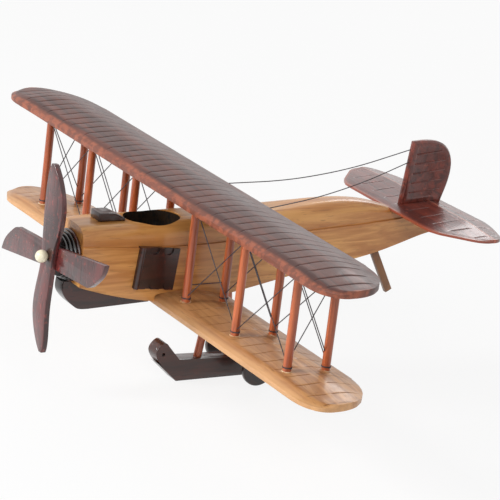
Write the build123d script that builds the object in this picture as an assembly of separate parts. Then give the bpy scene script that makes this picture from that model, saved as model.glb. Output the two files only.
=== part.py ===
"""Wooden biplane scale model: carved boards, dowel struts, thread rigging, one ski and two wheels.

The nose looks along -Y, the port side is +X and +Z is up. All sizes are millimetres. The pieces are
laid out round a datum, where the front struts meet the lower wing, and then moved so that the origin
is the middle of the model's footprint, on the surface that it stands on.
"""
from build123d import *
from math import radians, tan
import os

# ---------------------------------------------------------------- driving dimensions
upper_span = 396.0
lower_span = 390.0
upper_chord = 52.0
lower_chord = 50.5
upper_nose_y = -12.0          # leading edges, measured from the front strut row
lower_nose_y = -10.6
wing_gap = 59.0               # lower wing's top at the front struts to the upper wing's underside
wing_thickness = 7.6
wing_nose_height = 4.4
wing_tail_height = 1.4
wing_crest_share = 0.38
upper_tip_flare = 0.4
lower_tip_flare = 0.2
upper_nose_cut = 28.0          # how far in from the tip each edge starts to curve
upper_tail_cut = 50.0
lower_nose_cut = 28.0
lower_tail_cut = 44.0
edge_break = 0.8
strut_diameter = 5.0
strut_inner_x = 36.2
strut_bay = 56.9
strut_rows = 3
strut_row_gap = 25.6
socket_depth = 2.0
thread_diameter = 0.6
thread_gap = 0.15

hub_z = 20.6
nose_y = -60.0
hull_half_width = 18.2
deck_z = 41.1
tail_y = 198.0
ledge_step = 1.2
cockpit_length = 36.0
cockpit_width = 27.0
cockpit_depth = 20.0
cockpit_y = -8.0
seat_width = 12.0
seat_length = 8.0
seat_height = 9.0
seat_setback = 9.0
deck_block_front_y = -46.0
deck_block_length = 17.6
deck_block_width = 11.0
deck_block_height = 5.5

shaft_diameter = 4.0
running_clearance = 0.05
body_gap = 0.3
board_thickness = 3.2
front_board_length = 112.8
front_board_angle = 3.4
front_board_drop = 1.8
back_board_length = 129.0
back_board_angle = 8.2
back_board_drop = 0.7
upper_blade_bulge = 2.25        # widest reach of a front blade, in half root widths
lower_blade_bulge = 1.95
upper_blade_back = 1.0          # how far out the blade's other edge stays, in half root widths
lower_blade_back = 0.5
board_root_width = 13.0
bead_diameter = 7.6
ring_count = 4
ring_thickness = 2.05
ring_outer_radius = 15.6
ring_step = 1.0

keel_width = 10.0
keel_overhang = 4.6
keel_top_z = 8.0
keel_low_z = -12.2
keel_rise = 1.8
ground_z = -63.2
ski_width = 10.0
ski_height = 13.6
ski_tail_y = 73.0
ski_toe_y = 3.2
ski_toe_height = 25.0
ski_eye_diameter = 2.2
leg_diameter = 5.0
leg_socket = 3.0
leg_head_z = -1.0
front_leg_foot_y = 34.6
front_leg_head_y = 41.6
rear_leg_foot_y = 57.0
rear_leg_head_y = 50.0
axle_diameter = 3.0
axle_y = 65.0
wheel_radius = 10.8
wheel_thickness = 3.8
wheel_middle_x = 22.4
axle_cap_thickness = 1.6
axle_cap_diameter = 6.0
axle_collar_diameter = 5.0

tailplane_span = 149.0
tailplane_nose_y = 158.0
tailplane_chord = 46.0
tailplane_z = 37.6
tailplane_ridge_y = 188.5
tailplane_thickness = 4.2
tailplane_edge = 1.8
fin_thickness = 4.6
fin_top_z = 80.5
fin_front_y = 167.0
fin_foot_rear_y = 197.0
fin_rake = 4.2
skid_width = 3.2
skid_depth = 4.8
skid_head = (0, 151.5, 13.6)
skid_foot = (0, 168.4, -17.0)
plate_thickness = 1.8
plate_length = 26.5
plate_height = 25.4
plate_lean = 5.0
plate_rear_y = 1.2
plate_bottom_z = 2.8
plate_roll_radius = 1.7

os.makedirs("parts", exist_ok=True)
nodes = {}


def dowel(start, end, diameter):
    """A round stick between two points."""
    start, end = Vector(*start), Vector(*end)
    run = end - start
    place = Plane(origin=start, z_dir=run)
    return place * Cylinder(diameter / 2, run.length, align=(Align.CENTER, Align.CENTER, Align.MIN))


def side_profile(edges, width):
    """A solid of one width across X, centred, from closed edges drawn in (Y, Z)."""
    face = make_face(Plane.YZ * edges)
    return extrude(face, amount=width / 2, both=True)


def plan_profile(edges, bottom, top):
    """A solid between two heights, from closed edges drawn in (X, Y)."""
    face = make_face(Plane.XY.offset(bottom) * edges)
    return extrude(face, amount=top - bottom, dir=(0, 0, 1))


# ---------------------------------------------------------------- wings
def wing_board(span, nose, chord, bottom, corner_cut, tail_cut, flare):
    """A cambered board with a flat underside, rounded tips that flare forward and a blunt nose."""
    tail = nose + chord
    crest = nose + wing_crest_share * chord
    tip_nose = nose - flare
    section = Curve() + [
        Line((tip_nose, bottom + edge_break), (tip_nose, bottom + wing_nose_height)),
        Spline((tip_nose, bottom + wing_nose_height), (nose + 0.12 * chord, bottom + wing_thickness * 0.86),
               (crest, bottom + wing_thickness), (tail, bottom + wing_tail_height),
               tangents=((0.7, 1), (1, -0.28))),
        Line((tail, bottom + wing_tail_height), (tail, bottom)),
        Line((tail, bottom), (tip_nose + edge_break, bottom)),
        Line((tip_nose + edge_break, bottom), (tip_nose, bottom + edge_break)),
    ]
    board = side_profile(section, span)
    half = span / 2
    front_x = half - corner_cut
    rear_x = half - tail_cut
    widest_y = nose + 0.3 * chord
    outline = Curve()
    for side in (1, -1):
        outline += Spline((side * (front_x - corner_cut), nose), (side * front_x, nose - 0.6 * flare),
                          (side * (half - 0.3 * corner_cut), tip_nose + 0.1 * corner_cut),
                          (side * half, widest_y), tangents=((side, 0), (0, 1)))
        outline += Spline((side * half, widest_y), (side * (half - 0.18 * tail_cut), tail - 0.28 * chord),
                          (side * rear_x, tail), tangents=((0, 1), (-side, 0.1)))
    outline += Line((-rear_x, tail), (rear_x, tail))
    outline += Line((corner_cut - front_x, nose), (front_x - corner_cut, nose))
    return board & plan_profile(outline, bottom - 1, bottom + wing_thickness + 1)


def surface_top(board, x, y):
    """Height of a board's upper face above one point of its plan."""
    probe = Pos(x, y, 0) * Box(0.2, 0.2, 400)
    return (board & probe).bounding_box().max.Z


lower_raw = wing_board(lower_span, lower_nose_y, lower_chord, 0, lower_nose_cut, lower_tail_cut,
                       lower_tip_flare)
lower_wing = Pos(0, 0, -surface_top(lower_raw, strut_inner_x, 0)) * lower_raw
upper_bottom = wing_gap
upper_wing = wing_board(upper_span, upper_nose_y, upper_chord, upper_bottom, upper_nose_cut,
                        upper_tail_cut, upper_tip_flare)

# ---------------------------------------------------------------- struts, let into both wings
strut_x = [strut_inner_x + strut_bay * row for row in range(strut_rows)]
row_names = {"front": 0.0, "rear": strut_row_gap}
struts = {}
for row_name, row_y in row_names.items():
    for number, x in enumerate(strut_x, start=1):
        for side_name, side in (("port", 1), ("starboard", -1)):
            foot = surface_top(lower_wing, side * x, row_y) - socket_depth
            struts[f"strut_{row_name}_{number}_{side_name}"] = dowel(
                (side * x, row_y, foot), (side * x, row_y, upper_bottom + socket_depth), strut_diameter)
for strut in struts.values():
    lower_wing -= strut
    upper_wing -= strut
nodes["lower_wing"] = lower_wing
nodes["upper_wing"] = upper_wing
nodes.update(struts)


# ---------------------------------------------------------------- fuselage
def hull_section(y, half_width, bottom, shoulder, top, corner):
    """One cross-section: flat belly, plank side with a ledge, rounded upper corners."""
    inner = half_width - ledge_step
    points = [(-inner, shoulder), (-half_width, shoulder), (-half_width, bottom), (half_width, bottom),
              (half_width, shoulder), (inner, shoulder), (inner, top - corner)]
    edges = Curve() + [Line(a, b) for a, b in zip(points, points[1:])]
    edges += ThreePointArc((inner, top - corner), (inner - 0.293 * corner, top - 0.293 * corner),
                           (inner - corner, top))
    edges += Line((inner - corner, top), (corner - inner, top))
    edges += ThreePointArc((corner - inner, top), (0.293 * corner - inner, top - 0.293 * corner),
                           (-inner, top - corner))
    edges += Line((-inner, top - corner), (-inner, shoulder))
    return make_face(Plane(origin=(0, y, 0), x_dir=(1, 0, 0), z_dir=(0, -1, 0)) * edges)


hull_stations = [
    (nose_y, hull_half_width - 2.0, 5.6, 29.6, 40.6, 8.5),
    (nose_y + 22, hull_half_width - 0.6, -0.4, 29.0, 41.2, 7.5),
    (-11, hull_half_width, -5.2, 28.0, 41.0, 7.5),
    (38, hull_half_width - 0.6, -4.4, 28.6, 42.2, 8.0),
    (97, 13.0, 4.6, 30.4, 45.2, 8.0),
    (138, 9.4, 10.0, 31.2, 44.4, 6.0),
    (158, 7.2, 13.6, 31.8, 39.4, 4.0),
    (tail_y, 3.6, 22.2, 33.0, 38.6, 1.8),
]
fuselage = loft([hull_section(*station) for station in hull_stations])
seat_cut = Pos(0, tailplane_nose_y, tailplane_z) * Box(
    60, 60, 20, align=(Align.CENTER, Align.MIN, Align.MIN))
fuselage -= seat_cut
cockpit = Pos(0, cockpit_y, deck_z) * extrude(
    Ellipse(cockpit_width / 2, cockpit_length / 2), amount=cockpit_depth, both=True)
fuselage -= cockpit
fuselage -= lower_wing
wing_slot = Pos(0, lower_nose_y + lower_chord / 2, lower_wing.bounding_box().min.Z) * Box(
    60, lower_chord, 8, align=(Align.CENTER, Align.CENTER, Align.MAX))
fuselage -= wing_slot
shaft_bore = dowel((0, nose_y - 20, hub_z), (0, nose_y + 20, hub_z), shaft_diameter + 2 * running_clearance)
fuselage -= shaft_bore

cockpit_floor = deck_z - cockpit_depth
nodes["cockpit_seat"] = Pos(0, cockpit_y + seat_setback, cockpit_floor) * Box(
    seat_width, seat_length, seat_height, align=(Align.CENTER, Align.CENTER, Align.MIN))

nodes["fuselage"] = fuselage

# ---------------------------------------------------------------- keel under the nose
keel_rear_y = lower_nose_y + 4.0
keel_front_y = nose_y - keel_overhang
keel_low_y = nose_y + 13.0
keel_outline = Curve() + [
    Spline((keel_front_y, keel_top_z), (keel_front_y + 0.2, -1.4), (nose_y + 3.6, keel_low_z + 2.2),
           (keel_low_y, keel_low_z), tangents=((0, -1), (1, 0))),
    Line((keel_low_y, keel_low_z), (keel_rear_y, keel_low_z + keel_rise)),
    Line((keel_rear_y, keel_low_z + keel_rise), (keel_rear_y, keel_top_z)),
    Line((keel_rear_y, keel_top_z), (keel_front_y, keel_top_z)),
]
keel = side_profile(keel_outline, keel_width)
ring_front_y = nose_y - ring_count * ring_thickness
ring_room = dowel((0, ring_front_y - 5, hub_z), (0, nose_y, hub_z), 2 * ring_outer_radius)
nodes["chin_keel"] = keel - fuselage - ring_room - lower_wing

# ---------------------------------------------------------------- nose rings, each larger than the one ahead
for number in range(1, ring_count + 1):
    rear = nose_y - (ring_count - number) * ring_thickness
    radius = ring_outer_radius - ring_step * (ring_count - number)
    ring = dowel((0, rear - ring_thickness, hub_z), (0, rear, hub_z), 2 * radius)
    ring = fillet(ring.edges().filter_by(GeomType.CIRCLE), 0.4 * ring_thickness)
    nodes[f"nose_ring_{number}"] = ring - shaft_bore


# ---------------------------------------------------------------- propeller: two crossed boards on one shaft
def blade_board(blades, rear_y, angle, drop):
    """A board with two blades, each drawn upwards and the second turned half a turn about the shaft."""
    upper, lower = [extrude(Plane.XZ * make_face(Curve() + blade), amount=board_thickness, dir=(0, -1, 0))
                    for blade in blades]
    board = upper + Rot(0, 180, 0) * lower
    return Pos(0, rear_y, hub_z - drop) * Rot(0, angle, 0) * board


def sabre_half(reach, bulge, back):
    """Blade that bulges on one edge and comes to a blunt point near the other."""
    root = board_root_width / 2
    return [
        Line((-root, 0), (root, 0)),
        Spline((root, 0), (0.82 * bulge * root, 0.3 * reach), (bulge * root, 0.6 * reach), (0.2 * root, reach),
               tangents=((0.1, 1), (-0.75, 0.6))),
        Line((0.2 * root, reach), (-0.25 * root, reach)),
        Spline((-0.25 * root, reach), (-back * root, 0.6 * reach), (-root, 0),
               tangents=((-0.5, -0.8), (0, -1))),
    ]


def cut_half(reach):
    """Blade that widens outwards and has a slanted, rounded end."""
    root = board_root_width / 2
    return [
        Line((-root, 0), (root, 0)),
        Line((root, 0), (1.45 * root, 0.66 * reach)),
        Spline((1.45 * root, 0.66 * reach), (1.0 * root, 0.8 * reach), (-1.05 * root, reach),
               tangents=((0.2, 1), (-1, 0.35))),
        Line((-1.05 * root, reach), (-root, 0)),
    ]


back_board_rear_y = ring_front_y - body_gap
front_board_rear_y = back_board_rear_y - board_thickness
bead_rear_y = front_board_rear_y - board_thickness
shaft = dowel((0, bead_rear_y - 0.6 * bead_diameter, hub_z), (0, nose_y + 19, hub_z), shaft_diameter)
blade_reach = front_board_length / 2
front_blades = [sabre_half(blade_reach, upper_blade_bulge, upper_blade_back),
                sabre_half(blade_reach, lower_blade_bulge, lower_blade_back)]
front_board = blade_board(front_blades, front_board_rear_y, -front_board_angle, front_board_drop)
back_blades = [cut_half(back_board_length / 2)] * 2
back_board = blade_board(back_blades, back_board_rear_y, 90 - back_board_angle, back_board_drop)
bead_middle = (0, bead_rear_y - 0.42 * bead_diameter, hub_z)
bead = Pos(*bead_middle) * Sphere(bead_diameter / 2)
bead -= Pos(0, bead_rear_y, hub_z) * Box(20, 20, 20, align=(Align.CENTER, Align.MIN, Align.CENTER))
nodes["propeller_front_board"] = front_board - shaft
nodes["propeller_back_board"] = back_board - shaft
nodes["propeller_bead"] = bead - shaft
nodes["propeller_shaft"] = shaft

# ---------------------------------------------------------------- block on the deck and plates on the sides
deck_block_rear_y = deck_block_front_y + deck_block_length
deck_block_base_z = deck_z - deck_block_height
deck_block_top_z = deck_z + deck_block_height
deck_outline = Polyline((deck_block_front_y, deck_block_base_z), (deck_block_front_y, deck_block_top_z),
                        (deck_block_front_y + 0.54 * deck_block_length, deck_block_top_z - 0.2),
                        (deck_block_rear_y, deck_z + 1.5), (deck_block_rear_y, deck_block_base_z), close=True)
nodes["deck_block"] = side_profile(deck_outline, deck_block_width) - fuselage


def side_plate(side):
    """A plate with a rolled front edge, two round notches above and two small ones below."""
    outer_face = hull_half_width + plate_thickness
    plate = Pos(side * hull_half_width, plate_rear_y, plate_bottom_z) * Box(
        2 * plate_thickness, plate_length, plate_height, align=(Align.CENTER, Align.MAX, Align.MIN))
    roll_y = plate_rear_y - plate_length + plate_roll_radius
    plate += Pos(side * (outer_face - 0.6), roll_y, plate_bottom_z) * Cylinder(
        plate_roll_radius, plate_height, align=(Align.CENTER, Align.CENTER, Align.MIN))
    for share in (0.36, 0.72):
        notch_y = plate_rear_y - plate_length * (1 - share)
        for height, radius in ((plate_height - 1.0, 3.2), (0.6, 1.9)):
            notch_z = plate_bottom_z + height
            plate -= dowel((side * (outer_face - 1), notch_y, notch_z),
                           (side * (outer_face + 3), notch_y, notch_z), 2 * radius)
    centre = Pos(0, plate_rear_y - plate_length / 2, plate_bottom_z + plate_height / 2)
    return centre * Rot(-plate_lean, 0, 0) * centre.inverse() * plate - fuselage


nodes["side_plate_port"] = side_plate(1)
nodes["side_plate_starboard"] = side_plate(-1)

# ---------------------------------------------------------------- ski, legs, axle and wheels
ski_top = ground_z + ski_height
ski_toe_z = ground_z + ski_toe_height
ski_sole = Vector(ski_toe_y + 15.6, ground_z)
ski_heel = Vector(ski_tail_y, ground_z)
ski_heel_top = Vector(ski_tail_y - 2.0, ski_top - 1.5)
ski_instep = Vector(ski_toe_y + 16.6, ski_top)
ski_toe_back = Vector(ski_toe_y + 8.2, ski_toe_z - 2.0)
ski_outline = Curve() + [
    Line(ski_sole, ski_heel),
    Spline(ski_heel, (ski_tail_y + 3.0, ground_z + 5.0), ski_heel_top, tangents=((1, 0.1), (-1, 0.3))),
    Line(ski_heel_top, ski_instep),
    Line(ski_instep, ski_toe_back),
    Spline(ski_toe_back, (ski_toe_y + 5.2, ski_toe_z), (ski_toe_y + 1.6, ski_toe_z - 2.4),
           (ski_toe_y, ski_toe_z - 7.0), (ski_toe_y + 6.4, ground_z + 8.5), ski_sole,
           tangents=((-0.6, 1), (1, -0.9))),
]
ski = side_profile(ski_outline, ski_width)
axle_z = ground_z + wheel_radius
axle_end_x = wheel_middle_x + wheel_thickness / 2 + body_gap + axle_cap_thickness
axle = dowel((-axle_end_x, axle_y, axle_z), (axle_end_x, axle_y, axle_z), axle_diameter)
eye_y = ski_toe_y + 5
eye_z = ski_toe_z - 7.2
ski_eye = dowel((-ski_width, eye_y, eye_z), (ski_width, eye_y, eye_z), ski_eye_diameter)
leg_ends = {
    "front": (front_leg_foot_y, front_leg_head_y),
    "rear": (rear_leg_foot_y, rear_leg_head_y),
}
for name, (foot_y, head_y) in leg_ends.items():
    leg = dowel((0, foot_y, ski_top - leg_socket), (0, head_y, leg_head_z), leg_diameter)
    nodes[f"ski_leg_{name}"] = leg
    ski -= leg
    nodes["fuselage"] -= leg
    nodes["lower_wing"] -= leg
nodes["ski"] = ski - axle - ski_eye
nodes["axle"] = axle
wheel_bore = axle_diameter + 2 * running_clearance
for side_name, side in (("port", 1), ("starboard", -1)):
    inner_x = side * (wheel_middle_x - wheel_thickness / 2)
    outer_x = side * (wheel_middle_x + wheel_thickness / 2)
    wheel = dowel((inner_x, axle_y, axle_z), (outer_x, axle_y, axle_z), 2 * wheel_radius)
    wheel = fillet(wheel.edges().filter_by(GeomType.CIRCLE), 0.3 * wheel_thickness)
    bore = dowel((0, axle_y, axle_z), (2 * outer_x, axle_y, axle_z), wheel_bore)
    nodes[f"wheel_{side_name}"] = wheel - bore
    cap_x = outer_x + side * body_gap
    cap = dowel((cap_x, axle_y, axle_z), (cap_x + side * axle_cap_thickness, axle_y, axle_z),
                axle_cap_diameter)
    nodes[f"axle_cap_{side_name}"] = cap - axle
    collar_x = inner_x - side * body_gap
    collar = dowel((side * ski_width / 2, axle_y, axle_z), (collar_x, axle_y, axle_z), axle_collar_diameter)
    nodes[f"axle_collar_{side_name}"] = collar - axle

# ---------------------------------------------------------------- tail
tail_rear = tailplane_nose_y + tailplane_chord
tail_edge_z = tailplane_z + tailplane_edge
tail_section = Polyline((tailplane_nose_y, tailplane_z), (tailplane_nose_y, tail_edge_z),
                        (tailplane_ridge_y, tailplane_z + tailplane_thickness), (tail_rear, tail_edge_z),
                        (tail_rear, tailplane_z), close=True)
half_span = tailplane_span / 2
tip_y = tailplane_nose_y + 0.63 * tailplane_chord
tail_outline = Curve()
for side in (1, -1):
    tip = (side * half_span, tip_y)
    tail_outline += Spline((side * (half_span - 30), tailplane_nose_y),
                           (side * (half_span - 10), tailplane_nose_y + 13), tip,
                           tangents=((side, 0.15), (0, 1)))
    tail_outline += Spline(tip, (side * (half_span - 11), tail_rear - 5.5),
                           (side * (half_span - 34), tail_rear), tangents=((0, 1), (-side, 0.1)))
    tail_outline += Line((side * (half_span - 34), tail_rear), (0, tail_rear - 3.0))
tail_outline += Line((30 - half_span, tailplane_nose_y), (half_span - 30, tailplane_nose_y))
tailplane = side_profile(tail_section, tailplane_span)
tailplane &= plan_profile(tail_outline, tailplane_z - 1, tailplane_z + tailplane_thickness + 1)
nodes["tailplane"] = tailplane

fin_shoulder = (fin_front_y + fin_rake, fin_top_z - 0.5)
fin_foot = (fin_foot_rear_y, tailplane_z)
fin_outline = Curve() + [
    Line((fin_front_y, tailplane_z), fin_shoulder),
    Spline(fin_shoulder, (fin_front_y + 17, fin_top_z), (fin_foot_rear_y - 2, fin_top_z - 3.0),
           (fin_foot_rear_y + 5.4, fin_top_z - 14.5), (fin_foot_rear_y + 4.4, fin_top_z - 28.5), fin_foot,
           tangents=((1, 0.08), (-0.3, -1))),
    Line(fin_foot, (fin_front_y, tailplane_z)),
]
fin = side_profile(fin_outline, fin_thickness)
fin_sides = fin.faces().sort_by(Axis.X)
fin_rim = fin_sides[0].edges() + fin_sides[-1].edges()
fin_rim = [edge for edge in fin_rim if edge.center().Z > tailplane_z + 1]
fin = chamfer(fin_rim, 1.6, 1.2)
nodes["fin"] = fin - tailplane

skid_run = Vector(*skid_foot) - Vector(*skid_head)
skid_place = Plane(origin=skid_head, x_dir=(1, 0, 0), z_dir=skid_run)
skid = skid_place * Box(skid_width, skid_depth, skid_run.length,
                        align=(Align.CENTER, Align.CENTER, Align.MIN))
nodes["tail_skid"] = skid
nodes["fuselage"] -= skid


# ---------------------------------------------------------------- rigging threads
def thread(start, end, solids):
    """A tight thread, trimmed flush with what it is fastened to."""
    line = dowel(start, end, thread_diameter)
    for solid in solids:
        line -= solid
    return Compound(line.solids().sort_by(SortBy.VOLUME)[-1:])


thread_low_z = 2.5
thread_tie_z = 10.4
thread_high_z = wing_gap - 2.5
half_pitch = (thread_diameter + thread_gap) / 2
wings = [nodes["lower_wing"], nodes["upper_wing"]]
for row_name, row_y in row_names.items():
    for side_name, side in (("port", 1), ("starboard", -1)):
        for bay in range(1, strut_rows):
            inner, outer = side * strut_x[bay - 1], side * strut_x[bay]
            posts = [struts[f"strut_{row_name}_{bay + end}_{side_name}"] for end in (0, 1)]
            ahead, behind = row_y - half_pitch, row_y + half_pitch
            rising = thread((inner, ahead, thread_low_z), (outer, ahead, thread_high_z), posts + wings)
            falling = thread((inner, behind, thread_high_z), (outer, behind, thread_low_z), posts + wings)
            nodes[f"rigging_{row_name}_bay_{bay}_{side_name}"] = Compound([rising, falling])

side_low_z = thread_low_z + 3.0
for side_name, side in (("port", 1), ("starboard", -1)):
    x = side * strut_x[-1]
    posts = [struts[f"strut_{row_name}_{strut_rows}_{side_name}"] for row_name in row_names]
    left, right = x - half_pitch, x + half_pitch
    rising = thread((left, 0, side_low_z), (left, strut_row_gap, thread_high_z), posts + wings)
    falling = thread((right, 0, thread_high_z), (right, strut_row_gap, side_low_z), posts + wings)
    nodes[f"rigging_side_{side_name}"] = Compound([rising, falling])
    x = side * strut_x[0]
    posts = [struts[f"strut_{row_name}_1_{side_name}"] for row_name in row_names]
    nodes[f"rigging_tie_{side_name}"] = thread((x, 0, thread_tie_z), (x, strut_row_gap, thread_tie_z), posts)
posts = [struts["strut_front_1_port"], struts["strut_rear_1_starboard"]]
nodes["rigging_centre"] = thread((strut_x[0], 0, thread_high_z),
                                 (-strut_x[0], strut_row_gap, thread_high_z), posts)


def slack_thread(start, end, sag, solids):
    """A thread that hangs a little between its two ends: three straight runs joined by wide arcs."""
    start, end = Vector(*start), Vector(*end)
    run = (end - start) / 3
    drop = Vector(0, 0, sag)
    corners = [start, start + run - drop, end - run - drop, end]
    turn = (corners[1] - corners[0]).get_angle(corners[2] - corners[1])
    route = FilletPolyline(*corners, radius=0.45 * run.length / tan(radians(turn / 2)))
    line = sweep(Plane(origin=route @ 0, z_dir=route % 0) * Circle(thread_diameter / 2), path=route)
    for solid in solids:
        line -= solid
    return line.solids().sort_by(SortBy.VOLUME)[-1]


thread_fin_y = fin_front_y + 5.0
thread_wing_y = upper_nose_y + upper_chord - 1.5
thread_wing_z = upper_bottom + wing_tail_height
tail_threads = [
    slack_thread((0, thread_fin_y, fin_top_z - 5.5), (4.0, thread_wing_y, thread_wing_z), 5.5,
                 [nodes["fin"], nodes["upper_wing"]]),
    slack_thread((0, thread_fin_y, fin_top_z - 13.5), (52.0, thread_wing_y, thread_wing_z), 3.7,
                 [nodes["fin"], nodes["upper_wing"]]),
]
nodes["rigging_tail"] = Compound(tail_threads)

# ---------------------------------------------------------------- write every piece at the shared origin
everything = Compound(list(nodes.values())).bounding_box()
middle = everything.center()
origin = Vector(middle.X, middle.Y, everything.min.Z)
for name, shape in nodes.items():
    export_step(Pos(-origin.X, -origin.Y, -origin.Z) * shape, f"parts/{name}.step")
print("origin of the datum", round(-origin.X, 4), round(-origin.Y, 4), round(-origin.Z, 4))
print("size", everything.size)
print(len(nodes), "nodes")
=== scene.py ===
"""Wooden display biplane, finished piece by piece round its frame. Metres; nose -Y, port +X, up +Z."""
import math
import bpy
from mathutils import Matrix, Vector, noise
from mathutils.bvhtree import BVHTree


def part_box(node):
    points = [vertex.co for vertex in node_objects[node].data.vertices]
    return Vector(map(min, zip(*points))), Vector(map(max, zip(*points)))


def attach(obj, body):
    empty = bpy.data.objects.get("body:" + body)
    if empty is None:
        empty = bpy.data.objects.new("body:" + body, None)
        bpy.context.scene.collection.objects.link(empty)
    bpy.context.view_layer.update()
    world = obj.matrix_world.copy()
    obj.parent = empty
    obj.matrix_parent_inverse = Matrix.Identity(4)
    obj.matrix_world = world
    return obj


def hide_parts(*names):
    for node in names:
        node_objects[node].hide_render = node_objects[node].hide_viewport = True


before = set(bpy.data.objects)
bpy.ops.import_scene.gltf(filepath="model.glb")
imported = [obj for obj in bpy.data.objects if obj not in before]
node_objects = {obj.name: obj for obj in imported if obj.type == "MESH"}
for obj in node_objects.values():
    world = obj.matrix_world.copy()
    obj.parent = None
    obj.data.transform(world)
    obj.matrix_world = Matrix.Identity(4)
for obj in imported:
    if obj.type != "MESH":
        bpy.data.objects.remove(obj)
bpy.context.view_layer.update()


# ---------------------------------------------------------------- fuselage
# The fuselage is one block of pale hardwood, carved to a flat belly, plank sides and a rounded deck with
# a ledge along each side. It is sanded and varnished to a honey colour, and its cockpit is painted black.
mm = 0.001


def stain(red, green, blue):
    """A colour given as screen values, turned into the light values that a shader reads."""
    shares = [value / 255 for value in (red, green, blue)]
    lights = [s / 12.92 if s <= 0.04045 else ((s + 0.055) / 1.055) ** 2.4 for s in shares]
    return (*lights, 1.0)


def add_noise(tree, place, scale, detail, distortion=0.0):
    """A noise texture's value, read at the given place."""
    texture = tree.nodes.new("ShaderNodeTexNoise")
    texture.inputs["Scale"].default_value = scale
    texture.inputs["Detail"].default_value = detail
    texture.inputs["Distortion"].default_value = distortion
    tree.links.new(place, texture.inputs["Vector"])
    return texture.outputs["Fac"]


def between(tree, value, low, high):
    """A mask that goes from 0 at one value to 1 at the other."""
    ramp = tree.nodes.new("ShaderNodeMapRange")
    ramp.interpolation_type = "SMOOTHSTEP"
    ramp.inputs["From Min"].default_value = low
    ramp.inputs["From Max"].default_value = high
    tree.links.new(value, ramp.inputs["Value"])
    return ramp.outputs["Result"]


def combine(tree, operation, first, second):
    """One sum, product or other step on two values, each a socket or a number."""
    step = tree.nodes.new("ShaderNodeMath")
    step.operation = operation
    for socket, value in zip(step.inputs, (first, second)):
        if isinstance(value, (int, float)):
            socket.default_value = value
        else:
            tree.links.new(value, socket)
    return step.outputs[0]


def blend_colour(tree, share, first, second):
    """A mix of two colours by a mask; each colour is a socket or four numbers."""
    mix = tree.nodes.new("ShaderNodeMix")
    mix.data_type = "RGBA"
    tree.links.new(share, mix.inputs[0])
    for socket, colour in ((mix.inputs[6], first), (mix.inputs[7], second)):
        if isinstance(colour, tuple):
            socket.default_value = colour
        else:
            tree.links.new(colour, socket)
    return mix.outputs[2]


def make_wood_figure():
    """Node group: what a cut face of wood shows, as streaks along the grain, soft clouds and fine pores."""
    group = bpy.data.node_groups.new("wood_figure", "ShaderNodeTree")
    group.interface.new_socket("Place", in_out="INPUT", socket_type="NodeSocketVector")
    group.interface.new_socket("Stretch", in_out="INPUT", socket_type="NodeSocketVector")
    for name in ("Streaks", "Clouds", "Pores"):
        group.interface.new_socket(name, in_out="OUTPUT", socket_type="NodeSocketFloat")
    entry = group.nodes.new("NodeGroupInput")
    leave = group.nodes.new("NodeGroupOutput")
    along = group.nodes.new("ShaderNodeVectorMath")
    along.operation = "MULTIPLY"
    group.links.new(entry.outputs["Place"], along.inputs[0])
    group.links.new(entry.outputs["Stretch"], along.inputs[1])
    streaks = add_noise(group, along.outputs[0], 1.0, 7.0, 0.8)
    clouds = add_noise(group, along.outputs[0], 0.28, 2.0, 0.4)
    pores = add_noise(group, along.outputs[0], 5.0, 2.0)
    group.links.new(between(group, streaks, 0.33, 0.67), leave.inputs["Streaks"])
    group.links.new(between(group, clouds, 0.35, 0.65), leave.inputs["Clouds"])
    group.links.new(between(group, pores, 0.58, 0.72), leave.inputs["Pores"])
    return group


wood_figure = make_wood_figure()


def wood_finish(name, dark, light, stretch, roughness, coat, pore_depth):
    """A varnished wood: streaks between two stains, cloudy patches, and pores under the varnish."""
    material = bpy.data.materials.new(name)
    material.use_nodes = True
    tree = material.node_tree
    shader = tree.nodes["Principled BSDF"]
    place = tree.nodes.new("ShaderNodeTexCoord").outputs["Object"]
    figure = tree.nodes.new("ShaderNodeGroup")
    figure.node_tree = wood_figure
    figure.inputs["Stretch"].default_value = stretch
    tree.links.new(place, figure.inputs["Place"])
    colour = blend_colour(tree, figure.outputs["Streaks"], dark, light)
    deeper = tuple(0.62 * part for part in dark[:3]) + (1.0,)
    clouds = combine(tree, "MULTIPLY", figure.outputs["Clouds"], 0.45)
    colour = blend_colour(tree, clouds, colour, dark)
    pores = combine(tree, "MULTIPLY", figure.outputs["Pores"], 0.5)
    colour = blend_colour(tree, pores, colour, deeper)
    tree.links.new(colour, shader.inputs["Base Color"])
    uneven = add_noise(tree, place, 90.0, 3.0)
    gloss = combine(tree, "MULTIPLY", uneven, 0.22)
    tree.links.new(combine(tree, "ADD", gloss, roughness - 0.11), shader.inputs["Roughness"])
    shader.inputs["Coat Weight"].default_value = coat
    shader.inputs["Coat Roughness"].default_value = 0.12
    hollow = combine(tree, "MULTIPLY", figure.outputs["Pores"], -1.0)
    hand_cut = combine(tree, "MULTIPLY", add_noise(tree, place, 130.0, 2.0), 1.6)
    relief = combine(tree, "ADD", hollow, combine(tree, "ADD", hand_cut, figure.outputs["Streaks"]))
    bump = tree.nodes.new("ShaderNodeBump")
    bump.inputs["Strength"].default_value = 0.5
    bump.inputs["Distance"].default_value = pore_depth
    tree.links.new(relief, bump.inputs["Height"])
    tree.links.new(bump.outputs["Normal"], shader.inputs["Normal"])
    return material


def lay_over(material, mask, colour):
    """Another stain over what the wood already has, where the mask is 1."""
    tree = material.node_tree
    target = tree.nodes["Principled BSDF"].inputs["Base Color"]
    under = target.links[0].from_socket
    tree.links.new(blend_colour(tree, mask, under, colour), target)


def coordinate(material, axis):
    """One of the object's own coordinates, in metres."""
    tree = material.node_tree
    split = tree.nodes.new("ShaderNodeSeparateXYZ")
    tree.links.new(tree.nodes.new("ShaderNodeTexCoord").outputs["Object"], split.inputs[0])
    return split.outputs[axis]


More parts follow.
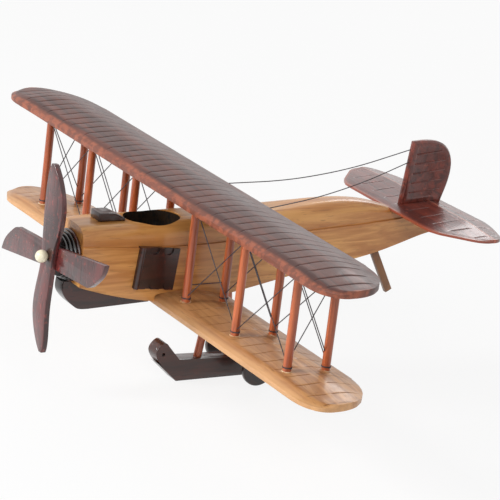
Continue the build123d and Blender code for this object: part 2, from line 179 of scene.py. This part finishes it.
def softened(node, edge_width, material, body="airframe", crease=35, segments=2):
    """A copy of a piece with its edges broken as by sandpaper; it stands for the sharp one."""
    mesh = node_objects[node].data.copy()
    piece = bpy.data.objects.new(node + "_finished", mesh)
    bpy.context.collection.objects.link(piece)
    bpy.ops.object.select_all(action="DESELECT")
    piece.select_set(True)
    bpy.context.view_layer.objects.active = piece
    bpy.ops.object.mode_set(mode="EDIT")
    bpy.ops.mesh.select_all(action="SELECT")
    bpy.ops.mesh.remove_doubles(threshold=0.002 * mm)
    bpy.ops.mesh.dissolve_limited(angle_limit=math.radians(0.4))
    bpy.ops.object.mode_set(mode="OBJECT")
    bevel = piece.modifiers.new("broken_edges", "BEVEL")
    bevel.width = edge_width
    bevel.segments = segments
    bevel.limit_method = "ANGLE"
    bevel.angle_limit = math.radians(crease)
    bpy.ops.object.modifier_apply(modifier=bevel.name)
    bpy.ops.object.shade_smooth_by_angle(angle=math.radians(28))
    wear(piece, material)
    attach(piece, body)
    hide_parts(node)
    return piece


def wear(piece, material):
    """Give a piece one finish all over."""
    piece.data.materials.clear()
    piece.data.materials.append(material)


honey = wood_finish("honey_varnish", stain(184, 118, 56), stain(222, 162, 92), (210, 15, 210), 0.34, 0.35,
                    0.05 * mm)
seat_low, seat_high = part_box("cockpit_seat")
cockpit_half_width = 13.5 * mm
cockpit_half_length = 18.0 * mm
cockpit_middle_y = (seat_low[1] + seat_high[1]) / 2 - 9.0 * mm
across = combine(honey.node_tree, "DIVIDE", coordinate(honey, 0), cockpit_half_width)
from_middle = combine(honey.node_tree, "SUBTRACT", coordinate(honey, 1), cockpit_middle_y)
along = combine(honey.node_tree, "DIVIDE", from_middle, cockpit_half_length)
ring = combine(honey.node_tree, "ADD", combine(honey.node_tree, "MULTIPLY", across, across),
               combine(honey.node_tree, "MULTIPLY", along, along))
inside = between(honey.node_tree, ring, 1.035, 0.995)
above_floor = between(honey.node_tree, coordinate(honey, 2), seat_low[2] - 1.2 * mm, seat_low[2] - 0.6 * mm)
below_rim = between(honey.node_tree, coordinate(honey, 2), 104.4 * mm, 103.6 * mm)
black_paint = stain(14, 13, 12)
cockpit_mask = combine(honey.node_tree, "MULTIPLY", combine(honey.node_tree, "MULTIPLY", inside, above_floor),
                       below_rim)
lay_over(honey, cockpit_mask, black_paint)
wear(node_objects["fuselage"], honey)


# ---------------------------------------------------------------- cockpit seat
# The seat is a small block with a hollowed top, glued to the cockpit floor. It is painted black like the
# rest of the cockpit, so that only its edges show.
seat_paint = wood_finish("seat_paint", stain(16, 15, 14), stain(34, 30, 28), (300, 60, 60), 0.45, 0.1, 0.04 * mm)
seat = softened("cockpit_seat", 0.8 * mm, seat_paint)


# ---------------------------------------------------------------- dark trim on the fuselage
# The nose keel, the block ahead of the cockpit and the plates on the sides are carved separately in a dark
# wood, stained almost black and glued on. Red wood shows where their edges are rubbed.
trim = wood_finish("dark_trim", stain(34, 14, 10), stain(66, 28, 20), (120, 18, 160), 0.32, 0.4, 0.06 * mm)
rubbed = between(trim.node_tree, add_noise(trim.node_tree, coordinate(trim, 1).node.inputs[0].links[0].from_socket,
                                           210.0, 3.0), 0.6, 0.78)
lay_over(trim, combine(trim.node_tree, "MULTIPLY", rubbed, 0.5), stain(108, 44, 30))
for name, edge in (("chin_keel", 1.1), ("deck_block", 0.6)):
    softened(name, edge * mm, trim)
for side in ("port", "starboard"):
    wear(node_objects[f"side_plate_{side}"], trim)


# ---------------------------------------------------------------- nose rings
# Four turned rings step down from the cowl to the propeller. Three are lacquered a glossy black, and the
# largest, against the nose, is a clear-coated dark brown.
lacquer = wood_finish("black_lacquer", stain(10, 9, 9), stain(26, 22, 21), (150, 150, 30), 0.16, 0.9, 0.02 * mm)
brown_lacquer = wood_finish("brown_lacquer", stain(48, 20, 13), stain(88, 40, 26), (150, 150, 30), 0.2, 0.8,
                            0.03 * mm)
ring_count = 4
for number in range(1, ring_count):
    wear(node_objects[f"nose_ring_{number}"], lacquer)
wear(node_objects[f"nose_ring_{ring_count}"], brown_lacquer)


# ---------------------------------------------------------------- propeller
# Two boards cross on one shaft and turn together. Each is whittled by hand from a reddish hardwood, stained
# maroon and varnished. A cream bead, pushed on the shaft's end, holds them.
maroon = wood_finish("maroon_varnish", stain(48, 17, 18), stain(98, 36, 34), (70, 260, 26), 0.3, 0.55, 0.14 * mm)
knife_cuts = add_noise(maroon.node_tree, coordinate(maroon, 0).node.inputs[0].links[0].from_socket, 330.0, 4.0)
lay_over(maroon, combine(maroon.node_tree, "MULTIPLY", between(maroon.node_tree, knife_cuts, 0.56, 0.74), 0.6),
         stain(150, 58, 48))
for name in ("propeller_front_board", "propeller_back_board"):
    board = softened(name, 0.9 * mm, maroon, body="propeller", segments=3)
shaft_wood = wood_finish("shaft_wood", stain(110, 60, 34), stain(160, 96, 56), (240, 20, 240), 0.4, 0.2, 0.05 * mm)
wear(node_objects["propeller_shaft"], shaft_wood)
bead_paint = wood_finish("bead_paint", stain(214, 200, 166), stain(242, 234, 208), (160, 60, 160), 0.3, 0.4,
                         0.03 * mm)
wear(node_objects["propeller_bead"], bead_paint)


# ---------------------------------------------------------------- wings
# Each wing is one board, flat below and cambered above. Grooves cut across it with a gouge stand for ribs,
# and the wood between them is scooped so that it looks like cloth pulled over a frame.
def rib_columns(half_span, pitch, groove):
    """Places along the span, in order: several round each groove, and two between grooves."""
    places = []
    rib_total = int((half_span - 6 * mm) / pitch)
    for rib in range(-rib_total, rib_total + 1):
        middle = rib * pitch
        places += [middle + groove * share for share in (-2.6, -1.0, -0.45, 0.0, 0.45, 1.0, 2.6)]
        places.append(middle + 0.5 * pitch)
    places = [place for place in places if abs(place) < half_span - 4.5 * mm]
    for share in (4.5, 3.8, 3.1, 2.4, 1.8, 1.3, 0.8, 0.4, 0.15):
        places += [half_span - share * mm, share * mm - half_span]
    return sorted(places)


def smooth_step(value, low, high):
    """0 below the low value, 1 above the high one, and a smooth rise between them."""
    share = min(max((value - low) / (high - low), 0.0), 1.0)
    return share * share * (3 - 2 * share)


def carved_wing(node, material, pitch, groove, depth, scoop, bow, cut_share, straight_x, nose_share=0.62):
    """The board as carved; cut_share(rib, share of chord) says how deep each groove is there."""
    cad = node_objects[node].data
    surface = BVHTree.FromPolygons([v.co.copy() for v in cad.vertices], [list(p.vertices) for p in cad.polygons])
    low, high = (Vector(corner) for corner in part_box(node))
    half_span = high.x
    clear_x = 64.0 * mm
    skin = 0.03 * mm

    def top_at(x, y):
        for probe in ((clear_x, x) if abs(x) < straight_x else (x, clear_x)):
            hit = surface.ray_cast(Vector((probe, y, high.z + mm)), Vector((0, 0, -1)))[0]
            if hit:
                return hit.z
        return low.z + 4.4 * mm

    def edges_at(x):
        if abs(x) < straight_x:
            x = clear_x + 2 * mm
        height = low.z + 0.95 * mm
        front = surface.ray_cast(Vector((x, low.y - mm, height)), Vector((0, 1, 0)))[0]
        rear = surface.ray_cast(Vector((x, high.y + mm, height)), Vector((0, -1, 0)))[0]
        return front.y, rear.y

    columns = rib_columns(half_span, pitch, groove)
    rows = 34
    bpy.ops.object.select_all(action="DESELECT")
    bpy.ops.mesh.primitive_grid_add(x_subdivisions=len(columns) - 1, y_subdivisions=rows, size=1)
    wing = bpy.context.object
    wing.name = node + "_carved"
    mesh = wing.data
    grooves = mesh.attributes.new("groove", "FLOAT", "POINT")
    rims = mesh.attributes.new("rim", "FLOAT", "POINT")
    for vertex in mesh.vertices:
        column = round((vertex.co.x + 0.5) * (len(columns) - 1))
        share = ((vertex.co.y + 0.5) * rows / rows) ** 1.25
        x = columns[column]
        front, rear = edges_at(x)
        y = front + share * (rear - front)
        rib = round(x / pitch)
        off = abs(x - rib * pitch)
        notch = max(0.0, 1 - off / groove) * cut_share(rib, share)
        panel = 0.5 - 0.5 * math.cos(2 * math.pi * x / pitch)
        fade = smooth_step(share, 0.05, 0.16) * (1 - smooth_step(share, 0.86, 0.98))
        fade *= 1 - smooth_step(abs(x), half_span - 12 * mm, half_span - 5 * mm)
        inset = min(max(y, front + skin), rear - skin)
        z = top_at(x, inset) + fade * scoop * (0.6 * panel - 0.35)
        z -= depth * notch
        thin = 0.55 + 0.45 * smooth_step(half_span - abs(x), 0.0, 34 * mm)
        thin *= nose_share + (1 - nose_share) * smooth_step(y - front, 0.0, 6 * mm)
        z = low.z + (z - low.z) * thin
        wander = bow * math.sin(math.pi * share) + 0.9 * mm * noise.noise(Vector((rib * 3.1, share * 2.2, 0.5)))
        wander *= 1 - smooth_step(abs(x), half_span - 16 * mm, half_span - 6 * mm)
        grooves.data[vertex.index].value = notch
        tip = half_span - abs(x)
        rims.data[vertex.index].value = 1 - min((y - front) / (4.2 * mm), tip / (3.0 * mm), 1.0)
        vertex.co = (x + wander * smooth_step(share, 0.0, 0.1) * (1 - smooth_step(share, 0.92, 1.0)), y, z)
    bpy.ops.object.mode_set(mode="EDIT")
    bpy.ops.mesh.select_all(action="SELECT")
    bpy.ops.mesh.extrude_region_move(TRANSFORM_OT_translate={"value": (0, 0, -20 * mm)})
    bpy.ops.object.mode_set(mode="OBJECT")
    underside = low.z
    for vertex in mesh.vertices:
        if vertex.co.z < underside:
            vertex.co.z = underside
            mesh.attributes["groove"].data[vertex.index].value = 0.0
    bpy.ops.object.mode_set(mode="EDIT")
    bpy.ops.mesh.select_all(action="SELECT")
    bpy.ops.mesh.normals_make_consistent(inside=False)
    bpy.ops.object.mode_set(mode="OBJECT")
    bevel = wing.modifiers.new("rounded_edge", "BEVEL")
    bevel.width = 0.6 * mm
    bevel.segments = 3
    bevel.limit_method = "ANGLE"
    bevel.angle_limit = math.radians(52)
    bpy.ops.object.modifier_apply(modifier=bevel.name)
    bpy.ops.object.shade_smooth_by_angle(angle=math.radians(40))
    wear(wing, material)
    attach(wing, "airframe")
    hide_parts(node)
    return wing


def mask_from(material, name):
    """A carved piece's own attribute, as a value for its finish."""
    reader = material.node_tree.nodes.new("ShaderNodeAttribute")
    reader.attribute_name = name
    return reader.outputs["Fac"]


mahogany = wood_finish("mahogany_stain", stain(58, 25, 18), stain(98, 48, 34), (22, 210, 210), 0.46, 0.12,
                       0.08 * mm)
lay_over(mahogany, combine(mahogany.node_tree, "MULTIPLY", mask_from(mahogany, "groove"), 0.8), stain(26, 11, 9))
scuffs = between(mahogany.node_tree, add_noise(mahogany.node_tree, coordinate(mahogany, 0).node.inputs[0].links[0]
                                               .from_socket, 240.0, 4.0), 0.42, 0.62)
rim_share = between(mahogany.node_tree, mask_from(mahogany, "rim"), 0.15, 0.6)
lay_over(mahogany, combine(mahogany.node_tree, "MULTIPLY", rim_share, combine(
    mahogany.node_tree, "ADD", combine(mahogany.node_tree, "MULTIPLY", scuffs, 0.5), 0.35)), stain(158, 86, 58))


def upper_cut(rib, share):
    """Long grooves that start behind the leading edge and fade out before the trailing edge."""
    start = 0.08 + 0.03 * math.sin(rib * 2.3)
    end = 0.9 + 0.06 * math.sin(rib * 1.7)
    return smooth_step(share, start - 0.02, start + 0.06) * (1 - smooth_step(share, end - 0.12, end))


def lower_cut(rib, share):
    """Two short strokes for each rib, with a gap between them."""
    gap = 0.46 + 0.05 * math.sin(rib * 2.9)
    first = smooth_step(share, 0.1, 0.15) * (1 - smooth_step(share, gap - 0.08, gap - 0.03))
    second = smooth_step(share, gap + 0.02, gap + 0.07) * (1 - smooth_step(share, 0.84, 0.92))
    return max(first, second)


upper_wing = carved_wing("upper_wing", mahogany, 9.9 * mm, 0.6 * mm, 0.5 * mm, 0.3 * mm, 1.2 * mm, upper_cut,
                         156 * mm)
tan = wood_finish("pale_varnish", stain(166, 112, 66), stain(212, 158, 104), (20, 190, 190), 0.4, 0.2, 0.07 * mm)
lay_over(tan, combine(tan.node_tree, "MULTIPLY", mask_from(tan, "groove"), 0.85), stain(84, 46, 24))
lay_over(tan, combine(tan.node_tree, "MULTIPLY", between(tan.node_tree, mask_from(tan, "rim"), 0.2, 0.7), 0.5),
         stain(222, 172, 120))
lower_wing = carved_wing("lower_wing", tan, 12.0 * mm, 0.42 * mm, 0.4 * mm, 0.2 * mm, 2.4 * mm, lower_cut,
                         156 * mm)


# ---------------------------------------------------------------- struts
# Twelve dowels in two rows hold the wings apart. Each is let into a hole in both wings and is varnished an
# orange brown, darker where fingers and glue have touched it.
strut_finish = wood_finish("strut_varnish", stain(150, 70, 36), stain(206, 108, 58), (260, 260, 16), 0.34, 0.35,
                           0.06 * mm)
touched = between(strut_finish.node_tree, add_noise(
    strut_finish.node_tree, coordinate(strut_finish, 0).node.inputs[0].links[0].from_socket, 42.0, 2.0), 0.5, 0.7)
lay_over(strut_finish, combine(strut_finish.node_tree, "MULTIPLY", touched, 0.35), stain(104, 44, 26))
for name, piece in node_objects.items():
    if name.startswith("strut_") or name in ("ski_leg_front", "ski_leg_rear", "axle"):
        wear(piece, strut_finish)


# ---------------------------------------------------------------- glue at the struts' feet
# A bead of pale wood glue was squeezed out round the foot of each strut on the lower wing, and was left to
# dry as a small uneven collar.
glue = wood_finish("dried_glue", stain(188, 142, 96), stain(232, 206, 168), (400, 400, 400), 0.3, 0.3, 0.1 * mm)
strut_names = sorted(name for name in node_objects if name.startswith("strut_"))
socket_depth = 2.0 * mm


def bare_ring(name, middle, radius, thickness, seed):
    """An uneven ring of glue: a torus, pushed about by noise."""
    bpy.ops.object.select_all(action="DESELECT")
    bpy.ops.mesh.primitive_torus_add(major_segments=28, minor_segments=8, major_radius=radius,
                                     minor_radius=thickness)
    ring_object = bpy.context.object
    ring_object.name = name
    for vertex in ring_object.data.vertices:
        out = Vector((vertex.co.x, vertex.co.y, 0)).normalized()
        lump = noise.noise(Vector((out.x * 1.5, out.y * 1.5, seed)))
        core = out * radius
        vertex.co = middle + core + (vertex.co - core) * (1.0 + 1.1 * lump)
    bpy.ops.object.shade_smooth()
    return ring_object


for seed, name in enumerate(strut_names):
    low, high = (Vector(corner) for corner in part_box(name))
    foot = Vector(((low.x + high.x) / 2, (low.y + high.y) / 2, low.z + socket_depth + 0.15 * mm))
    collar = bare_ring(name.replace("strut", "glue"), foot, 2.65 * mm, 0.42 * mm, seed * 1.7)
    wear(collar, glue)
    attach(collar, "airframe")


# ---------------------------------------------------------------- rigging threads
# Dark cotton thread crosses each bay, ties the struts near the fuselage together and runs from the fin to the
# upper wing. It is wound two or three times round each strut where it is made fast.
thread_finish = wood_finish("cotton_thread", stain(38, 32, 34), stain(92, 84, 88), (900, 900, 900), 0.7, 0.0,
                            0.08 * mm)
for name, piece in node_objects.items():
    if name.startswith("rigging_"):
        wear(piece, thread_finish)


def winding(name, middle, radius, turns, thread):
    """Turns of thread round a dowel, as a helix with the thread's own thickness."""
    steps = 18
    line = bpy.data.curves.new(name, "CURVE")
    line.dimensions = "3D"
    spline = line.splines.new("POLY")
    count = int(turns * steps) + 1
    spline.points.add(count - 1)
    for step, point in enumerate(spline.points):
        angle = 2 * math.pi * step / steps
        climb = (step / steps - turns / 2) * 1.05 * thread
        reach = radius + 0.5 * thread
        point.co = (middle.x + reach * math.cos(angle), middle.y + reach * math.sin(angle), middle.z + climb, 1)
    line.bevel_depth = thread / 2
    line.bevel_resolution = 1
    line.use_fill_caps = True
    coil = bpy.data.objects.new(name, line)
    bpy.context.collection.objects.link(coil)
    bpy.ops.object.select_all(action="DESELECT")
    coil.select_set(True)
    bpy.context.view_layer.objects.active = coil
    bpy.ops.object.convert(target="MESH")
    bpy.ops.object.shade_smooth()
    return bpy.context.object


thread_size = 0.36 * mm
for name in strut_names:
    low, high = (Vector(corner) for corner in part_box(name))
    radius = (high.x - low.x) / 2
    for place, height in (("low", low.z + socket_depth + 2.6 * mm), ("high", high.z - socket_depth - 2.6 * mm)):
        middle = Vector(((low.x + high.x) / 2, (low.y + high.y) / 2, height))
        coil = winding(name.replace("strut", "winding") + "_" + place, middle, radius, 2.4, thread_size)
        wear(coil, thread_finish)
        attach(coil, "airframe")


# ---------------------------------------------------------------- ski, axle fittings and wheels
# The model stands on a carved ski with a turned-up toe, and on two turned wheels on an axle through its heel.
# They are stained a dark red brown.
ski_stain = wood_finish("ski_stain", stain(46, 20, 12), stain(84, 38, 24), (150, 16, 150), 0.34, 0.35, 0.08 * mm)
softened("ski", 1.3 * mm, ski_stain, segments=3)
wheel_stain = wood_finish("wheel_stain", stain(26, 14, 11), stain(54, 28, 21), (60, 240, 240), 0.32, 0.35,
                          0.06 * mm)
for side in ("port", "starboard"):
    wear(node_objects[f"axle_cap_{side}"], ski_stain)
    wear(node_objects[f"axle_collar_{side}"], ski_stain)
    wear(node_objects[f"wheel_{side}"], wheel_stain)


# ---------------------------------------------------------------- tail
# The tailplane is a board with a ridge at its hinge line, and the fin stands in it. Both are mahogany with
# carved ribs and bright rubbed edges, and a painted highlight runs along the tailplane's ridge. A pale strip
# under the tail is the skid.
tail_stain_and_ridge_highlight = wood_finish("tail_stain_and_ridge_highlight", stain(74, 26, 18), stain(124, 50, 34), (30, 200, 200), 0.32, 0.4, 0.1 * mm)
nicks = between(tail_stain_and_ridge_highlight.node_tree, add_noise(
    tail_stain_and_ridge_highlight.node_tree, coordinate(tail_stain_and_ridge_highlight, 0).node.inputs[0].links[0].from_socket, 300.0, 4.0), 0.6, 0.75)
lay_over(tail_stain_and_ridge_highlight, combine(tail_stain_and_ridge_highlight.node_tree, "MULTIPLY", nicks, 0.45), stain(176, 84, 60))
lay_over(tail_stain_and_ridge_highlight, combine(tail_stain_and_ridge_highlight.node_tree, "MULTIPLY", mask_from(tail_stain_and_ridge_highlight, "groove"), 0.7),
         stain(36, 13, 10))
# Painted highlight: a bright line along the tailplane's ridge, below the top of the tailplane, stands for the light
# that the ridge catches.
ridge_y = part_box("tailplane")[0][1] + 30.5 * mm
ridge_gap = combine(tail_stain_and_ridge_highlight.node_tree, "ABSOLUTE", combine(tail_stain_and_ridge_highlight.node_tree, "SUBTRACT",
                                                              coordinate(tail_stain_and_ridge_highlight, 1), ridge_y), 0.0)
flat_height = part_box("tailplane")[1][2] + 0.1 * mm
ridge_highlight = combine(tail_stain_and_ridge_highlight.node_tree, "MULTIPLY", between(tail_stain_and_ridge_highlight.node_tree, ridge_gap, 0.9 * mm, 0.4 * mm),
                   between(tail_stain_and_ridge_highlight.node_tree, coordinate(tail_stain_and_ridge_highlight, 2), flat_height, flat_height - 0.2 * mm))
lay_over(tail_stain_and_ridge_highlight, combine(tail_stain_and_ridge_highlight.node_tree, "MULTIPLY", ridge_highlight, 0.6), stain(206, 128, 104))
lay_over(tail_stain_and_ridge_highlight, combine(tail_stain_and_ridge_highlight.node_tree, "MULTIPLY", between(
    tail_stain_and_ridge_highlight.node_tree, mask_from(tail_stain_and_ridge_highlight, "rim"), 0.45, 0.8), 0.5), stain(178, 92, 66))


def tail_cut(rib, share):
    """Grooves that stop short at the ridge."""
    ahead = smooth_step(share, 0.16, 0.22) * (1 - smooth_step(share, 0.52, 0.58))
    behind = smooth_step(share, 0.68, 0.74) * (1 - smooth_step(share, 0.86, 0.94))
    return max(ahead, behind)


tailplane = carved_wing("tailplane", tail_stain_and_ridge_highlight, 13.5 * mm, 0.5 * mm, 0.35 * mm, 0.25 * mm, 0.0, tail_cut, 0.0, 0.8)

fin = softened("fin", 0.45 * mm, tail_stain_and_ridge_highlight)
bpy.ops.object.mode_set(mode="EDIT")
bpy.ops.mesh.select_all(action="DESELECT")
bpy.ops.object.mode_set(mode="OBJECT")
for face in fin.data.polygons:
    face.select = abs(face.normal.x) > 0.98 and face.area > 200 * mm * mm
bpy.ops.object.mode_set(mode="EDIT")
bpy.ops.mesh.inset(thickness=2.2 * mm, depth=0.0)
bpy.ops.mesh.inset(thickness=0.8 * mm, depth=-0.6 * mm)
bpy.ops.object.mode_set(mode="OBJECT")
fin_low, fin_high = (Vector(corner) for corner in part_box("fin"))
fin_cad = node_objects["fin"].data
fin_surface = BVHTree.FromPolygons([v.co.copy() for v in fin_cad.vertices],
                                   [list(face.vertices) for face in fin_cad.polygons])
for number in range(5):
    height = fin_low.z + (0.2 + 0.15 * number) * (fin_high.z - fin_low.z)
    front = fin_surface.ray_cast(Vector((0, fin_low.y - mm, height)), Vector((0, 1, 0)))[0].y + 5.0 * mm
    rear = fin_surface.ray_cast(Vector((0, fin_high.y + mm, height)), Vector((0, -1, 0)))[0].y - 5.0 * mm
    bpy.ops.object.select_all(action="DESELECT")
    bpy.ops.mesh.primitive_cube_add(size=1, location=(0, (front + rear) / 2, height))
    rib = bpy.context.object
    rib.name = f"fin_rib_{number + 1}"
    rib.scale = (fin_high.x - fin_low.x - 0.5 * mm, rear - front, 0.8 * mm)
    rib.rotation_euler.x = math.radians(5)
    bpy.ops.object.transform_apply(location=True, rotation=True, scale=True)
    bevel = rib.modifiers.new("rounded", "BEVEL")
    bevel.width = 0.3 * mm
    bevel.segments = 2
    bpy.ops.object.modifier_apply(modifier=bevel.name)
    bpy.ops.object.shade_smooth_by_angle(angle=math.radians(40))
    wear(rib, tail_stain_and_ridge_highlight)
    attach(rib, "airframe")
skid_wood = wood_finish("skid_wood", stain(104, 66, 34), stain(158, 106, 60), (260, 60, 20), 0.4, 0.25, 0.06 * mm)
softened("tail_skid", 0.4 * mm, skid_wood)


# ---------------------------------------------------------------- floor, lights and camera
# A white table and a plain surround, one large soft lamp at the left, a weaker one at the right and a strip
# behind that gives the varnish its sheen.
white = (1.0, 1.0, 1.0, 1.0)


def seen_directly(tree):
    """1 for what the eye sees, straight on, in a reflection or through glass."""
    path = tree.nodes.new("ShaderNodeLightPath")
    both = combine(tree, "MAXIMUM", path.outputs["Is Camera Ray"], path.outputs["Is Glossy Ray"])
    return combine(tree, "MAXIMUM", both, path.outputs["Is Transmission Ray"])


bpy.ops.object.select_all(action="DESELECT")
bpy.ops.mesh.primitive_plane_add(size=30)
floor = bpy.context.object
floor.name = "floor"
floor_finish = bpy.data.materials.new("floor_finish")
floor_finish.use_nodes = True
floor_tree = floor_finish.node_tree
floor_shader = floor_tree.nodes["Principled BSDF"]
floor_shader.inputs["Base Color"].default_value = (0.9, 0.9, 0.9, 1.0)
floor_shader.inputs["Roughness"].default_value = 0.9
glow = floor_tree.nodes.new("ShaderNodeEmission")
glow.inputs["Color"].default_value = white
share = combine(floor_tree, "MULTIPLY", seen_directly(floor_tree), 0.86)
mix = floor_tree.nodes.new("ShaderNodeMixShader")
floor_tree.links.new(share, mix.inputs[0])
floor_tree.links.new(floor_shader.outputs[0], mix.inputs[1])
floor_tree.links.new(glow.outputs[0], mix.inputs[2])
floor_tree.links.new(mix.outputs[0], floor_tree.nodes["Material Output"].inputs["Surface"])
wear(floor, floor_finish)

world = bpy.data.worlds.new("surround")
bpy.context.scene.world = world
world.use_nodes = True
sky = world.node_tree.nodes["Background"]
sky.inputs["Color"].default_value = white
surround_light = 0.34
lift = combine(world.node_tree, "MULTIPLY", seen_directly(world.node_tree), 1.0 - surround_light)
world.node_tree.links.new(combine(world.node_tree, "ADD", lift, surround_light), sky.inputs["Strength"])


def soft_lamp(name, place, target, width, power):
    """A square studio lamp, turned to face its target."""
    lamp = bpy.data.lights.new(name, "AREA")
    lamp.size = width
    lamp.energy = power
    holder = bpy.data.objects.new(name, lamp)
    bpy.context.collection.objects.link(holder)
    facing = (Vector(target) - Vector(place)).to_track_quat("-Z", "Y")
    holder.matrix_world = Matrix.Translation(place) @ facing.to_matrix().to_4x4()
    return holder


model_middle = (0.0, 0.0, 0.07)
soft_lamp("key_lamp", (-0.35, -1.45, 0.85), model_middle, 0.55, 24.0)
soft_lamp("fill_lamp", (1.5, -0.6, 1.1), model_middle, 0.7, 9.0)
soft_lamp("back_strip", (-1.1, 1.3, 1.1), model_middle, 0.6, 5.0)

camera_place = Vector((1.32677, -0.85400, 0.58049))
camera_azimuth = math.radians(57.17)
camera_elevation = math.radians(17.62)
camera_roll = math.radians(7.20)
lens = bpy.data.cameras.new("camera")
lens.lens = 197.84
lens.sensor_width = 36.0
lens.clip_start = 0.05
camera = bpy.data.objects.new("camera", lens)
bpy.context.collection.objects.link(camera)
camera.matrix_world = (Matrix.Translation(camera_place) @ Matrix.Rotation(camera_azimuth, 4, "Z")
                       @ Matrix.Rotation(math.pi / 2 - camera_elevation, 4, "X")
                       @ Matrix.Rotation(camera_roll, 4, "Z"))
bpy.context.scene.camera = camera
bpy.context.scene.view_settings.view_transform = "Standard"
